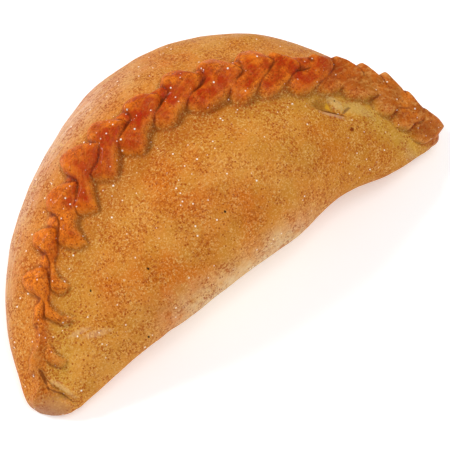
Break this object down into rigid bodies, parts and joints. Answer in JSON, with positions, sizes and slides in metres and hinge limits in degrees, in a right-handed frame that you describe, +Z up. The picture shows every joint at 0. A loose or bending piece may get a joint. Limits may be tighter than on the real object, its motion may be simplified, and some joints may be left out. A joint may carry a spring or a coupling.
{
  "type": "cabbage pie",
  "caption": "Half-moon pie of baked dough folded over a filling, with its curved edge crimped into a rope; a whole pie that lies on its flat base.",
  "frame": {"origin": "middle of the bounding box in plan, on the surface that the pie lies on", "axes": "+X from the left tip to the right tip, +Y towards the back, where the rounded side and its crimped rope are, +Z up"},
  "size_m": [0.166, 0.0844, 0.0454],
  "materials": {
    "crust": "egg-washed baked crust, half gloss, golden with a redder rope"
  },
  "bodies": {
    "root": {"pie": "crust"}
  },
  "joints": []
}
